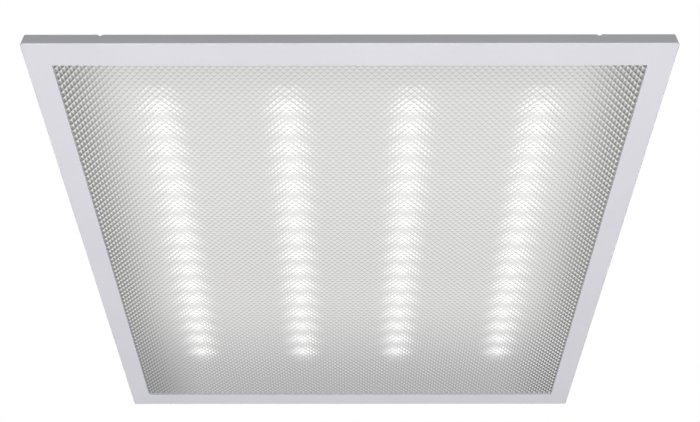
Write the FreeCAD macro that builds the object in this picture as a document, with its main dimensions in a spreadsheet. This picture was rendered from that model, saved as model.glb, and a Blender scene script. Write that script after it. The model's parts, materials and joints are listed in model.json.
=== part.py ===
import FreeCAD, Part
import Sketcher
import math
import os
import re

# A recessed troffer light of the backlit panel kind, for a 600 mm ceiling grid.
# Frame of the model: the visible face is the plane z = 0 and looks down (-Z), the back
# is up (+Z), and the origin is the middle of the face. The supply enters from +X.
# All sizes are in millimetres.

SIZES = {
    # face frame, pressed from one sheet
    "panel_width": 595, "wall_height": 14, "sheet": 0.6, "corner_radius": 3,
    "bend_radius": 1.2, "border": 24, "lip_height": 2.8, "hem_width": 8,
    "notch_inset": 70.5, "notch_radius": 2,
    # prismatic diffuser and what holds it down
    "diffuser_overlap": 7, "diffuser_thickness": 2.2, "gasket_width": 5, "gasket_thickness": 1,
    "rail_sheet": 0.6, "rail_foot": 5,
    # back tray
    "tray_sheet": 0.5, "tray_fit": 0.3, "rim_drop": 0.3, "skirt_depth": 6, "rim_width": 26,
    "ramp_run": 10, "panel_depth": 19,
    "bead_width": 14, "bead_depth": 2, "bead_inset": 50.6, "bead_stop": 34, "bead_side": 25.6,
    "post_width": 12, "post_sheet": 0.8, "post_gap": 0.5,
    # screws of the tray and of the driver housing
    "screw_radius": 1.5, "screw_length": 6, "housing_screw_length": 3, "head_radius": 2.8, "head_height": 1.8,
    "cross_length": 3.4, "cross_width": 0.8, "thread_fit": 0.05, "screw_clearance": 0.3,
    # light-emitting strips
    "strip_count": 4, "strip_margin": 84.5, "led_count": 16, "board_margin": 50.75,
    "board_width": 18, "board_thickness": 1.2, "board_end": 15, "led_length": 3.5,
    "led_width": 2.8, "led_height": 0.8, "plug_length": 6.5, "plug_width": 9,
    "plug_height": 3, "plug_inset": 2, "rivet_radius": 1.6, "rivet_head": 3,
    "rivet_height": 0.9, "rivet_fit": 0.05, "rivet_count": 4,
    # leads
    "strip_lead_radius": 0.7, "strip_lead_spacing": 1.8, "lead_reach": 9, "mains_lead_radius": 1.2,
    # suspension nuts
    "nut_inset": 45.6, "nut_bore": 1.65, "nut_barrel": 3, "nut_flange": 4.5,
    "nut_flange_height": 0.8, "nut_depth": 9, "nut_floor": 1,
    # driver housing
    "housing_length": 280, "housing_width": 62, "housing_height": 24, "housing_sheet": 0.8,
    "wiring_length": 78, "cover_fit": 0.3, "cover_lap": 4,
    "tab_width": 9, "slot_width": 26, "slot_height": 9,
    # hinge of the wiring cover
    "hinge_reach": 3, "knuckle_radius": 2.4, "hinge_pin_radius": 1, "hinge_fit": 0.05,
    "knuckle_length": 10, "knuckle_gap": 0.5, "knuckle_inset": 4, "pin_end": 1,
    # driver card and its components
    "card_depth": 42, "card_thickness": 1.6, "card_inset": 7, "card_front": 4,
    "standoff_height": 4, "standoff_radius": 3, "standoff_pin": 1.5, "standoff_inset": 6,
    "connector_length": 10, "connector_width": 16, "connector_height": 9, "connector_inset": 1,
    "sink_length": 34, "sink_width": 14, "sink_height": 14, "fin_thickness": 1.2,
    "fin_count": 5, "core_length": 28, "core_width": 12, "core_height": 16,
    "core_leg": 4, "coil_wrap": 5, "capacitor_gap": 15,
    "capacitor_radius": 6, "capacitor_height": 15, "choke_radius": 7,
    "choke_wire": 3, "film_length": 13, "film_width": 7, "film_height": 11,
    # terminal block
    "pole_count": 3, "pole_pitch": 8, "block_length": 20, "block_height": 14, "block_wall": 1.5,
    "block_stand": 16, "entry_radius": 1.7, "entry_height": 8.2, "entry_depth": 7,
    "button_side": 4.4, "button_height": 8, "button_rise": 2, "button_travel": 1.5,
    "button_fit": 0.3,
    # supply grommet and lead grommet
    "grommet_bore": 4, "grommet_neck": 6.5, "grommet_flange": 8, "grommet_lip": 2.4,
    "grommet_height": 11, "lead_bore": 4.4, "lead_neck": 5.2, "lead_flange": 6.4, "lead_lip": 1,
    "lead_hole": 25, "lead_back": 8, "lead_margin": 8.25,
    # earth point
    "earth_inset": 8, "lug_radius": 4, "lug_thickness": 0.8,
    # grid clips
    "clip_inset": 8.5, "clip_pin_radius": 1.5, "clip_fit": 0.05, "clip_sheet": 1,
    "clip_bracket_width": 16, "clip_bracket_sheet": 0.8, "clip_bracket_depth": 9,
    "clip_side_gap": 0.3, "clip_rise": 0.5, "tee_height": 38, "hook_gap": 0.5,
    "hook_length": 12.5, "pin_head_radius": 2.3, "pin_head_length": 0.8,
}

# Places that several pieces share, each written in the names above.
OPENING = "(panel_width - 2 * border)"
DIFFUSER = "(panel_width - 2 * border + 2 * diffuser_overlap)"
DIFFUSER_TOP = "(lip_height + diffuser_thickness)"
GASKET_TOP = "(lip_height + diffuser_thickness + gasket_thickness)"
RIM_TOP = "(wall_height - rim_drop)"
RIM_UNDER = "(wall_height - rim_drop - tray_sheet)"
TRAY = "(panel_width - 2 * sheet - 2 * tray_fit)"
RAMP_ANGLE = "atan((panel_depth - wall_height + rim_drop) / ramp_run)"
BOARD_TOP = "(panel_depth - tray_sheet)"
BOARD_UNDER = "(panel_depth - tray_sheet - board_thickness)"
PLATEAU = "(panel_width / 2 - sheet - tray_fit - rim_width - ramp_run)"
NOTCH = "(panel_width / 2 - notch_inset)"
STRIP_PITCH = "((panel_width - 2 * border - 2 * strip_margin) / (strip_count - 1))"
BOARD = "(panel_width - 2 * border - 2 * board_margin)"
LED_PITCH = "((panel_width - 2 * border - 2 * board_margin - 2 * board_end) / (led_count - 1))"
NUT = f"({PLATEAU} - nut_inset)"
LEAD_Y = f"({BOARD} / 2 - plug_inset + lead_reach + lead_margin)"
POST = "(panel_width / 2 - sheet - tray_fit - tray_sheet - post_gap - post_width / 2)"
FLOOR = "(panel_depth + housing_sheet)"
HOUSING_TOP = "(panel_depth + housing_height)"
HOUSING_BACK = f"({LEAD_Y} + lead_back)"
HOUSING_FRONT = f"({HOUSING_BACK} - housing_width)"
HOUSING_MIDDLE = f"({HOUSING_BACK} - housing_width / 2)"
HOUSING_END = "(housing_length / 2)"
PARTITION = "(housing_length / 2 - wiring_length)"
HINGE_Y = f"({HOUSING_BACK} + hinge_reach)"
HINGE_Z = "(panel_depth + housing_height + cover_fit)"
CARD_TOP = "(panel_depth + housing_sheet + standoff_height + card_thickness)"
CARD_LENGTH = "(housing_length - wiring_length - 2 * card_inset)"
CARD_LEFT = "(card_inset - housing_length / 2)"
CARD_FRONT = f"({HOUSING_FRONT} + card_front)"
BLOCK_FACE = "(housing_length / 2 - wiring_length + block_stand)"
BLOCK_DEPTH = "(pole_count * pole_pitch + 2 * block_wall)"
LEAD_X = "(lead_hole - housing_length / 2)"
ENTRY_Z = "(panel_depth + housing_sheet + entry_height)"
BLOCK_TOP = "(panel_depth + housing_sheet + block_height)"
SUPPLY_Z = "(panel_depth + housing_sheet + grommet_height)"
EARTH_X = "(housing_length / 2 - wiring_length + earth_inset)"
EARTH_Y = f"({HOUSING_BACK} - earth_inset)"
CLIP_Y = "(panel_width / 2 - clip_inset)"
CLIP_BARREL = "(clip_pin_radius + clip_fit + clip_sheet)"
CLIP_Z = "(panel_depth + clip_rise - clip_pin_radius - clip_fit)"

doc = FreeCAD.newDocument("TrofferLight")
sheet = doc.addObject("Spreadsheet::Sheet", "Sizes")
for row, (alias, number) in enumerate(SIZES.items(), start=1):
    sheet.set(f"A{row}", alias)
    sheet.set(f"B{row}", str(number))
    sheet.setAlias(f"B{row}", alias)
doc.recompute()

X_AXIS = FreeCAD.Vector(1, 0, 0)
Y_AXIS = FreeCAD.Vector(0, 1, 0)
Z_AXIS = FreeCAD.Vector(0, 0, 1)
nodes = []


def size(alias):
    """A driving dimension, read back from the sheet."""
    return float(sheet.get(alias))


def bound(text):
    """An expression whose size names are written as the sheet's cells."""
    return re.sub(r"[a-z]\w*", lambda word: f"Sizes.{word[0]}" if word[0] in SIZES else word[0], str(text))


def place(piece, where):
    """Bind a piece's place to the sheet."""
    for axis, text in zip("xyz", where):
        piece.setExpression(f"Placement.Base.{axis}", bound(text))
    return piece


def block(name, lengths, corner):
    """A block from its three lengths and its lowest corner."""
    piece = doc.addObject("Part::Box", name)
    for side, text in zip(("Length", "Width", "Height"), lengths):
        piece.setExpression(side, bound(text))
    return place(piece, corner)


def middle_block(name, lengths, foot):
    """A block that stands centred on a point of its foot."""
    corner = [f"({foot[0]}) - ({lengths[0]}) / 2", f"({foot[1]}) - ({lengths[1]}) / 2", foot[2]]
    return block(name, lengths, corner)


def rod(name, radius, length, foot, axis=Z_AXIS):
    """A round rod from the middle of its foot along an axis."""
    piece = doc.addObject("Part::Cylinder", name)
    piece.Placement = FreeCAD.Placement(FreeCAD.Vector(), FreeCAD.Rotation(Z_AXIS, axis))
    piece.setExpression("Radius", bound(radius))
    piece.setExpression("Height", bound(length))
    return place(piece, foot)


def fuse(name, *pieces):
    """One solid from pieces that meet."""
    union = doc.addObject("Part::MultiFuse", name)
    union.Shapes = list(pieces)
    union.Refine = True
    return union


def cut(name, base, *tools):
    """The base less every tool."""
    result = doc.addObject("Part::Cut", name)
    result.Base = base
    result.Tool = tools[0] if len(tools) == 1 else fuse(f"{name}_tools", *tools)
    return result


def group(name, pieces):
    """Separate solids that share one node."""
    together = doc.addObject("Part::Compound", name)
    together.Links = list(pieces)
    return together


def copies(name, master, places):
    """One linked copy of a master piece at each place."""
    links = []
    for number, where in enumerate(places, start=1):
        link = doc.addObject("App::Link", f"{name}_{number}")
        link.LinkedObject = master
        link.LinkTransform = True
        links.append(place(link, where))
    return group(name, links)


def turned(piece, degrees):
    """Turn a whole piece about the vertical axis through the origin."""
    piece.Placement = FreeCAD.Placement(FreeCAD.Vector(), FreeCAD.Rotation(Z_AXIS, degrees))
    return piece


def keep(name, piece):
    """Make a piece a sub-part: its label names its file."""
    piece.Label = name
    nodes.append(piece)
    return piece


def plane_of(body, role):
    """One of a body's own origin planes."""
    return next(item for item in body.Origin.OriginFeatures if item.Role == role)


def sketch_on(body, name, role, lift="0"):
    """A sketch on one of the body's origin planes, lifted off it by a bound distance."""
    sketch = body.newObject("Sketcher::SketchObject", name)
    sketch.AttachmentSupport = [(plane_of(body, role), "")]
    sketch.MapMode = "FlatFace"
    sketch.setExpression("AttachmentOffset.Base.z", bound(lift))
    return sketch


def square(sketch, name, side, guess):
    """A square round the sketch's origin, its side bound to the sheet."""
    first = sketch.GeometryCount
    half = guess / 2
    corners = [(-half, -half), (half, -half), (half, half), (-half, half)]
    for (x0, y0), (x1, y1) in zip(corners, corners[1:] + corners[:1]):
        sketch.addGeometry(Part.LineSegment(FreeCAD.Vector(x0, y0), FreeCAD.Vector(x1, y1)))
    for index in range(4):
        following = first + (index + 1) % 4
        sketch.addConstraint(Sketcher.Constraint("Coincident", first + index, 2, following, 1))
        way = "Vertical" if index % 2 else "Horizontal"
        sketch.addConstraint(Sketcher.Constraint(way, first + index))
    sketch.addConstraint(Sketcher.Constraint("Symmetric", first, 1, first + 2, 1, -1, 1))
    for index, way in ((first, "across"), (first + 1, "along")):
        constraint = sketch.addConstraint(Sketcher.Constraint("Distance", index, guess))
        sketch.renameConstraint(constraint, f"{name}_{way}")
        sketch.setExpression(f"Constraints.{name}_{way}", bound(side))


def pad(body, name, length, sides, lift="0", taper=None):
    """A pad of one square, or of the ring between two, up from a bound height."""
    sketch = sketch_on(body, f"{name}_outline", "XY_Plane", lift)
    for label, (side, guess) in zip(("outer", "inner"), sides):
        square(sketch, label, side, guess)
    feature = body.newObject("PartDesign::Pad", name)
    feature.Profile = sketch
    feature.setExpression("Length", bound(length))
    if taper:
        feature.setExpression("TaperAngle", bound(taper))
    doc.recompute()
    return feature


def round_edges(body, name, base, wanted, radius):
    """A fillet on the edges for which wanted(edge's box) holds."""
    fillet = body.newObject("PartDesign::Fillet", name)
    edges = [f"Edge{i}" for i, edge in enumerate(base.Shape.Edges, start=1) if wanted(edge.BoundBox)]
    fillet.Base = (base, edges)
    fillet.setExpression("Radius", bound(radius))
    doc.recompute()
    return fillet


def reach_of(box):
    """The largest and smallest distance of an edge's low corner from the middle, in X or Y."""
    return max(abs(box.XMin), abs(box.YMin)), min(abs(box.XMin), abs(box.YMin))


def round_frame(body, shell, width, opening):
    """Round the wall's corners outside and inside, and the bend between face and wall."""
    thin, tall = size("sheet"), size("wall_height") / 2

    def outer_corner(box):
        return box.ZLength > tall and reach_of(box)[0] > width / 2 - thin / 2

    def inner_corner(box):
        far, near = reach_of(box)
        upright = box.ZLength > tall and box.XLength + box.YLength < thin / 2
        return upright and near > opening / 2 and far < width / 2 - thin / 2

    def face_edge(box):
        far = max(abs(box.XMin), abs(box.XMax), abs(box.YMin), abs(box.YMax))
        return box.ZMax < thin / 2 and far > opening / 2 + thin

    outside = round_edges(body, "outer_corners", shell, outer_corner, "corner_radius")
    inside = round_edges(body, "inner_corners", outside, inner_corner, "corner_radius - sheet")
    round_edges(body, "face_bend", inside, face_edge, "bend_radius")


def notch_rows(index, sign, centre):
    """The constraints of one notch's circle, each with its name and its expression."""
    return (("radius", Sketcher.Constraint("Radius", index, size("notch_radius")), "notch_radius"),
            ("out", Sketcher.Constraint("DistanceX", -1, 1, index, 3, centre.x), f"{sign} * {NOTCH}"),
            ("up", Sketcher.Constraint("DistanceY", -1, 1, index, 3, centre.y), "wall_height"))


def face_frame():
    """The pressed frame: face, outer wall, inner lip and the hem that carries the diffuser."""
    width, opening = size("panel_width"), size("panel_width") - 2 * size("border")
    thin = size("sheet")
    body = doc.addObject("PartDesign::Body", "face_frame")
    pad(body, "face", "sheet", [("panel_width", width), (OPENING, opening)])
    wall = [("panel_width", width), ("panel_width - 2 * sheet", width - 2 * thin)]
    shell = pad(body, "wall", "wall_height", wall)
    round_frame(body, shell, width, opening)
    lip = [(f"{OPENING} + 2 * sheet", opening + 2 * thin), (OPENING, opening)]
    pad(body, "lip", "lip_height", lip)
    hem = [(f"{OPENING} + 2 * hem_width", opening + 2 * size("hem_width")), (OPENING, opening)]
    pad(body, "hem", "sheet", hem, lift="lip_height - sheet")
    notches = sketch_on(body, "notch_outline", "XZ_Plane")
    for index, sign in enumerate((-1, 1)):
        centre = FreeCAD.Vector(sign * (width / 2 - size("notch_inset")), size("wall_height"))
        notches.addGeometry(Part.Circle(centre, FreeCAD.Vector(0, 0, 1), size("notch_radius")))
        for label, constraint, expression in notch_rows(index, sign, centre):
            number = notches.addConstraint(constraint)
            notches.renameConstraint(number, f"{label}_{index}")
            notches.setExpression(f"Constraints.{label}_{index}", bound(expression))
    before = body.Shape.Volume
    pocket = body.newObject("PartDesign::Pocket", "notches")
    pocket.Profile = notches
    pocket.Type = "ThroughAll"
    pocket.Midplane = True
    doc.recompute()
    assert pocket.Shape.Volume < before, "the notches cut nothing"
    keep("face_frame", body)


def tray_form(name, skin, foot):
    """The outer form of the back tray, or with a skin the hollow inside it."""
    body = doc.addObject("PartDesign::Body", name)
    slope = f"{skin} * tan({RAMP_ANGLE} / 2)"
    rim = pad(body, f"{name}_rim", f"{RIM_TOP} - {skin} - ({foot})",
              [(f"{TRAY} - 2 * {skin}", size("panel_width"))], lift=foot)
    corners = round_edges(body, f"{name}_corners", rim, lambda box: box.ZLength > size("tray_sheet"),
                          f"corner_radius - sheet - tray_fit - {skin}")
    pad(body, f"{name}_plateau", f"panel_depth - {RIM_TOP}",
        [(f"{TRAY} - 2 * rim_width - 2 * {slope}", size("panel_width") - size("rim_width"))],
        lift=f"{RIM_TOP} - {skin}", taper=f"-(90 deg - {RAMP_ANGLE})")
    return body


def bead(name, x, far_end, skin):
    """A stiffening bead pressed into the plateau, or with a skin its far side."""
    half = f"(bead_width / 2 + {skin})"
    near_end = f"({PLATEAU} - bead_inset)"
    floor = f"panel_depth - bead_depth - {skin}"
    depth = f"2 * bead_depth + {skin}"
    middle = block(f"{name}_middle", (f"2 * {half}", f"{near_end} + {far_end} - bead_width", depth),
                   (f"{x} - {half}", f"bead_width / 2 - {near_end}", floor))
    front = rod(f"{name}_front", half, depth, (x, f"bead_width / 2 - {near_end}", floor))
    back = rod(f"{name}_back", half, depth, (x, f"{far_end} - bead_width / 2", floor))
    return fuse(name, middle, front, back)


def beads(name, skin):
    """All beads: long ones outside the strips and shorter ones between them."""
    pieces = []
    for label, sign in (("left", -1), ("right", 1)):
        x = f"{sign} * ({PLATEAU} - bead_side)"
        pieces.append(bead(f"{name}_outer_{label}", x, f"({PLATEAU} - bead_inset)", skin))
    for gap in range(1, int(size("strip_count"))):
        x = f"({gap} - strip_count / 2) * {STRIP_PITCH}"
        pieces.append(bead(f"{name}_{gap}", x, f"({HOUSING_FRONT} - bead_stop)", skin))
    return pieces


def tray_holes():
    """Cutters for every screw, rivet, nut and lead that goes through the tray."""
    through = "4 * tray_sheet"
    cutters = []
    for number, (x, y) in enumerate(screw_places(), start=1):
        cutters.append(rod(f"tray_screw_hole_{number}", "screw_radius + screw_clearance", through,
                           (x, y, f"{RIM_TOP} - 2 * tray_sheet")))
    for number, (x, y) in enumerate(rivet_places(), start=1):
        cutters.append(rod(f"tray_rivet_hole_{number}", "rivet_radius + rivet_fit", through,
                           (x, y, "panel_depth - 2 * tray_sheet")))
    for number, (x, y) in enumerate(nut_places(), start=1):
        cutters.append(rod(f"tray_nut_hole_{number}", "nut_barrel + rivet_fit", through,
                           (x, y, "panel_depth - 2 * tray_sheet")))
    for number, (x, y) in enumerate(housing_screw_places(), start=1):
        cutters.append(rod(f"tray_housing_hole_{number}", "screw_radius + thread_fit", through,
                           (x, y, "panel_depth - 2 * tray_sheet")))
    cutters.append(rod("tray_lead_hole", "lead_neck + rivet_fit", through,
                       (LEAD_X, LEAD_Y, "panel_depth - 2 * tray_sheet")))
    cutters.append(rod("tray_earth_hole", "screw_radius + thread_fit", through,
                       (EARTH_X, EARTH_Y, "panel_depth - 2 * tray_sheet")))
    length = "(4 * tray_sheet)"
    for number, (x, y) in enumerate(notch_places(), start=1):
        cutters.append(rod(f"tray_notch_{number}", "notch_radius", length,
                           (x, f"{y} - {length} / 2", "wall_height"), Y_AXIS))
    return cutters


def back_tray():
    """The pressed back: skirt, rim, ramp and plateau of one thin sheet, with sunk beads."""
    foot = f"{RIM_TOP} - skirt_depth"
    flush = "0 * tray_sheet"
    outer = cut("tray_outside", tray_form("tray_solid", flush, foot), *beads("bead", flush))
    hollow = cut("tray_inside", tray_form("tray_hollow", "tray_sheet", f"{foot} - tray_sheet"),
                 *beads("bead_back", "tray_sheet"))
    keep("back_tray", cut("back_tray", outer, hollow, *tray_holes()))


def screw_places():
    """The four corner posts."""
    return [(f"{a} * {POST}", f"{b} * {POST}") for a in (-1, 1) for b in (-1, 1)]


def notch_places():
    """Where the frame's notches meet the tray's skirt."""
    return [(f"{a} * {NOTCH}", f"{b} * {TRAY} / 2") for a in (-1, 1) for b in (-1, 1)]


def rivet_places():
    """Rivets evenly along each strip, each midway between two chips."""
    along = [f"(round(({row} + 1 / 2) * led_count / rivet_count) - led_count / 2) * {LED_PITCH}"
             for row in range(int(size("rivet_count")))]
    return [(strip_x(strip), y) for strip in range(int(size("strip_count"))) for y in along]


def nut_places():
    """The corners of the suspension square."""
    return [(f"{a} * {NUT}", f"{b} * {NUT}") for a in (-1, 1) for b in (-1, 1)]


def housing_screw_places():
    """Two screws at each end of the driver housing's floor."""
    return [(f"{a} * ({HOUSING_END} - 2 * head_radius - housing_sheet)",
             f"{HOUSING_MIDDLE} + {b} * (housing_width / 2 - 2 * head_radius - housing_sheet)")
            for a in (-1, 1) for b in (-1, 1)]


def strip_x(strip):
    """The middle line of one strip, counted from 0."""
    return f"({strip} - (strip_count - 1) / 2) * {STRIP_PITCH}"


def flat_pieces():
    """The diffuser on the frame's hem, and the foam gasket on its edge."""
    plate = (DIFFUSER, DIFFUSER, "diffuser_thickness")
    keep("diffuser", middle_block("diffuser", plate, ("0", "0", "lip_height")))
    inner = f"{DIFFUSER} - 2 * gasket_width"
    ring = middle_block("gasket_outside", (DIFFUSER, DIFFUSER, "gasket_thickness"), ("0", "0", DIFFUSER_TOP))
    hole = middle_block("gasket_inside", (inner, inner, "2 * gasket_thickness"),
                        ("0", "0", f"{DIFFUSER_TOP} - gasket_thickness / 2"))
    keep("diffuser_gasket", cut("diffuser_gasket", ring, hole))


def retaining_rail(name, length, degrees):
    """A channel that holds the gasket and the diffuser down from under the tray's rim."""
    start = (f"-({length}) / 2", f"-{DIFFUSER} / 2")
    web = block(f"{name}_web", (length, "rail_sheet", f"{RIM_UNDER} - {GASKET_TOP}"), (*start, GASKET_TOP))
    low = block(f"{name}_foot", (length, "rail_foot", "rail_sheet"), (*start, GASKET_TOP))
    high = block(f"{name}_head", (length, "rail_foot", "rail_sheet"), (*start, f"{RIM_UNDER} - rail_sheet"))
    keep(name, turned(fuse(name, web, low, high), degrees))


def retaining_rails():
    """Long rails near and far, and shorter ones that fit between them."""
    short = f"{DIFFUSER} - 2 * rail_foot - 2 * tray_fit"
    for name, length, degrees in (("near", DIFFUSER, 0), ("right", short, 90), ("far", DIFFUSER, 180),
                                  ("left", short, 270)):
        retaining_rail(f"retaining_rail_{name}", length, degrees)


def corner_post(name, degrees):
    """A folded bracket in the frame's corner that takes a tray screw."""
    plate = ("post_width", "post_width", "post_sheet")
    foot = middle_block(f"{name}_foot", plate, (POST, POST, "sheet"))
    top = middle_block(f"{name}_top", plate, (POST, POST, f"{RIM_UNDER} - post_sheet"))
    web = block(f"{name}_web", ("post_sheet", "post_width", f"{RIM_UNDER} - sheet"),
                (f"{POST} - post_width / 2", f"{POST} - post_width / 2", "sheet"))
    hole = rod(f"{name}_hole", "screw_radius + thread_fit", "4 * post_sheet",
               (POST, POST, f"{RIM_UNDER} - 3 * post_sheet"))
    keep(name, turned(cut(name, fuse(f"{name}_folds", foot, top, web), hole), degrees))


def screw_master(name, length):
    """A pan-head screw with a cross recess, its seat at the origin."""
    head = rod(f"{name}_head", "head_radius", "head_height", ("0", "0", "0"))
    shank = rod(f"{name}_shank", "screw_radius", length, ("0", "0", f"-({length})"))
    slots = (("cross_length", "cross_width"), ("cross_width", "cross_length"))
    recess = [middle_block(f"{name}_recess_{index}", (*sides, "head_height"), ("0", "0", "head_height / 2"))
              for index, sides in enumerate(slots)]
    return cut(name, fuse(f"{name}_blank", head, shank), *recess)


def screws():
    """The screws of the tray, the housing floor, the driver cover and the earth point."""
    long_screw = screw_master("long_screw", "screw_length")
    keep("tray_screws", copies("tray_screws", long_screw, [(x, y, RIM_TOP) for x, y in screw_places()]))
    short_screw = screw_master("short_screw", "housing_screw_length")
    floor_places = [(x, y, FLOOR) for x, y in housing_screw_places()]
    floor_places.append((EARTH_X, EARTH_Y, f"{FLOOR} + lug_thickness"))
    keep("housing_screws", copies("housing_screws", short_screw, floor_places))
    cover_places = [(x, y, f"{HOUSING_TOP} + housing_sheet") for x, y in tab_places()]
    keep("cover_screws", copies("cover_screws", short_screw, cover_places))


def led_strip(strip):
    """One strip: its board, its chips and the plug at its far end."""
    x = strip_x(strip)
    name = f"led_board_{strip + 1}"
    plate = middle_block(f"{name}_plate", ("board_width", BOARD, "board_thickness"), (x, "0", BOARD_UNDER))
    holes = [rod(f"{name}_hole_{number}", "rivet_radius + rivet_fit", "2 * board_thickness",
                 (x, y, f"{BOARD_UNDER} - board_thickness / 2"))
             for number, (where, y) in enumerate(rivet_places(), start=1) if where == x]
    keep(name, cut(name, plate, *holes))
    plug = middle_block(f"strip_plug_{strip + 1}", ("plug_width", "plug_length", "plug_height"),
                        (x, f"{BOARD} / 2 - plug_inset - plug_length / 2", f"{BOARD_UNDER} - plug_height"))
    keep(f"strip_plug_{strip + 1}", plug)


def led_chips(master, strip):
    """The chips of one strip, evenly spaced along its board."""
    places = [(strip_x(strip), f"({chip} - (led_count - 1) / 2) * {LED_PITCH}", BOARD_UNDER)
              for chip in range(int(size("led_count")))]
    keep(f"led_chips_{strip + 1}", copies(f"led_chips_{strip + 1}", master, places))


def led_strips():
    """All strips, riveted to the underside of the tray's plateau."""
    chip = middle_block("led_chip", ("led_length", "led_width", "led_height"), ("0", "0", "-led_height"))
    for strip in range(int(size("strip_count"))):
        led_strip(strip)
    for strip in range(int(size("strip_count"))):
        led_chips(chip, strip)
    head = rod("strip_rivet_head", "rivet_head", "rivet_height", ("0", "0", "-rivet_height"))
    grip = "board_thickness + tray_sheet"
    shank = rod("strip_rivet_shank", "rivet_radius", grip, ("0", "0", "0"))
    tail = rod("strip_rivet_tail", "rivet_head", "rivet_height", ("0", "0", grip))
    rivet = fuse("strip_rivet", head, shank, tail)
    keep("strip_rivets", copies("strip_rivets", rivet, [(x, y, BOARD_UNDER) for x, y in rivet_places()]))


def suspension_nuts():
    """Closed rivet nuts in the tray, threaded for suspension wires or stirrups."""
    flange = rod("nut_flange_disc", "nut_flange", "nut_flange_height", ("0", "0", "0"))
    barrel = rod("nut_barrel_rod", "nut_barrel", "nut_depth", ("0", "0", "-nut_depth"))
    thread = rod("nut_thread", "nut_bore", "nut_depth + nut_flange_height",
                 ("0", "0", "nut_floor - nut_depth"))
    nut = cut("suspension_nut", fuse("nut_blank", flange, barrel), thread)
    keep("suspension_nuts", copies("suspension_nuts", nut, [(x, y, "panel_depth") for x, y in nut_places()]))


def tab_places():
    """The four tabs under the driver cover's corners."""
    left = f"housing_sheet + tab_width / 2 - {HOUSING_END}"
    right = f"{PARTITION} - housing_sheet - tab_width / 2"
    return [(x, f"{HOUSING_MIDDLE} + {sign} * (housing_width / 2 - housing_sheet - tab_width / 2)")
            for x in (left, right) for sign in (-1, 1)]


def knuckle_starts():
    """Where the base's two hinge knuckles start along X."""
    return [f"{PARTITION} + knuckle_inset", f"{HOUSING_END} - knuckle_inset - knuckle_length"]


def housing_holes():
    """Cutters for the housing's screws, hinge pin, grommets, earth point and lead slot."""
    holes = [rod(f"base_tab_hole_{number}", "screw_radius + thread_fit", "4 * housing_sheet",
                 (x, y, f"{HOUSING_TOP} - 3 * housing_sheet"))
             for number, (x, y) in enumerate(tab_places(), start=1)]
    holes += [rod(f"base_floor_hole_{number}", "screw_radius + screw_clearance", "4 * housing_sheet",
                  (x, y, "panel_depth - 2 * housing_sheet"))
              for number, (x, y) in enumerate(housing_screw_places(), start=1)]
    holes.append(rod("base_hinge_hole", "hinge_pin_radius + hinge_fit", "wiring_length",
                     (PARTITION, HINGE_Y, HINGE_Z), X_AXIS))
    holes.append(rod("base_lead_hole", "lead_neck + rivet_fit", "4 * housing_sheet",
                     (LEAD_X, LEAD_Y, "panel_depth - 2 * housing_sheet")))
    holes.append(rod("base_earth_hole", "screw_radius + thread_fit", "4 * housing_sheet",
                     (EARTH_X, EARTH_Y, "panel_depth - 2 * housing_sheet")))
    holes.append(rod("base_supply_hole", "grommet_neck + rivet_fit", "4 * housing_sheet",
                     (f"{HOUSING_END} - 2 * housing_sheet", HOUSING_MIDDLE, SUPPLY_Z), X_AXIS))
    holes.append(middle_block("base_lead_slot", ("4 * housing_sheet", "slot_width", "slot_height"),
                              (PARTITION, HOUSING_MIDDLE, f"{ENTRY_Z} - slot_height / 2")))
    return holes


def housing_base():
    """The open steel box of the driver, its partition, cover tabs and fixed hinge knuckles."""
    outside = middle_block("base_outside", ("housing_length", "housing_width", "housing_height"),
                           ("0", HOUSING_MIDDLE, "panel_depth"))
    inside = ("housing_length - 2 * housing_sheet", "housing_width - 2 * housing_sheet", "housing_height")
    room = middle_block("base_room", inside, ("0", HOUSING_MIDDLE, FLOOR))
    walls = cut("base_walls", outside, room)
    partition = block("base_partition", ("housing_sheet", "housing_width", "housing_height"),
                      (f"{PARTITION} - housing_sheet", HOUSING_FRONT, "panel_depth"))
    tabs = [middle_block(f"base_tab_{number}", ("tab_width", "tab_width", "housing_sheet"),
                         (x, y, f"{HOUSING_TOP} - housing_sheet"))
            for number, (x, y) in enumerate(tab_places(), start=1)]
    knuckles = []
    for number, start in enumerate(knuckle_starts(), start=1):
        knuckles.append(rod(f"base_knuckle_{number}", "knuckle_radius", "knuckle_length",
                            (start, HINGE_Y, HINGE_Z), X_AXIS))
        knuckles.append(block(f"base_knuckle_web_{number}",
                              ("knuckle_length", "hinge_reach", "knuckle_radius"),
                              (start, HOUSING_BACK, f"{HINGE_Z} - knuckle_radius")))
    blank = fuse("base_blank", walls, partition, *tabs, *knuckles)
    keep("housing_base", cut("housing_base", blank, *housing_holes()))


def folded_lid(name, start, end, seat, left_lap, right_lap, back_lap):
    """A flat lid over the housing with short flanges outside its walls."""
    out = "(cover_fit + housing_sheet)"
    x0 = f"({start} - {out})" if left_lap else f"({start})"
    x1 = f"({end} + {out})" if right_lap else f"({end})"
    y0 = f"({HOUSING_FRONT} - {out})"
    y1 = f"({HOUSING_BACK} + {out})" if back_lap else HOUSING_BACK
    plate = block(f"{name}_plate", (f"{x1} - {x0}", f"{y1} - {y0}", "housing_sheet"), (x0, y0, seat))
    low = f"{seat} - cover_lap"
    flanges = [block(f"{name}_front", (f"{x1} - {x0}", "housing_sheet", "cover_lap"), (x0, y0, low))]
    if back_lap:
        flanges.append(block(f"{name}_back", (f"{x1} - {x0}", "housing_sheet", "cover_lap"),
                             (x0, f"{y1} - housing_sheet", low)))
    if left_lap:
        flanges.append(block(f"{name}_left", ("housing_sheet", f"{y1} - {y0}", "cover_lap"), (x0, y0, low)))
    if right_lap:
        flanges.append(block(f"{name}_right", ("housing_sheet", f"{y1} - {y0}", "cover_lap"),
                             (f"{x1} - housing_sheet", y0, low)))
    return fuse(f"{name}_folds", plate, *flanges)


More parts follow.
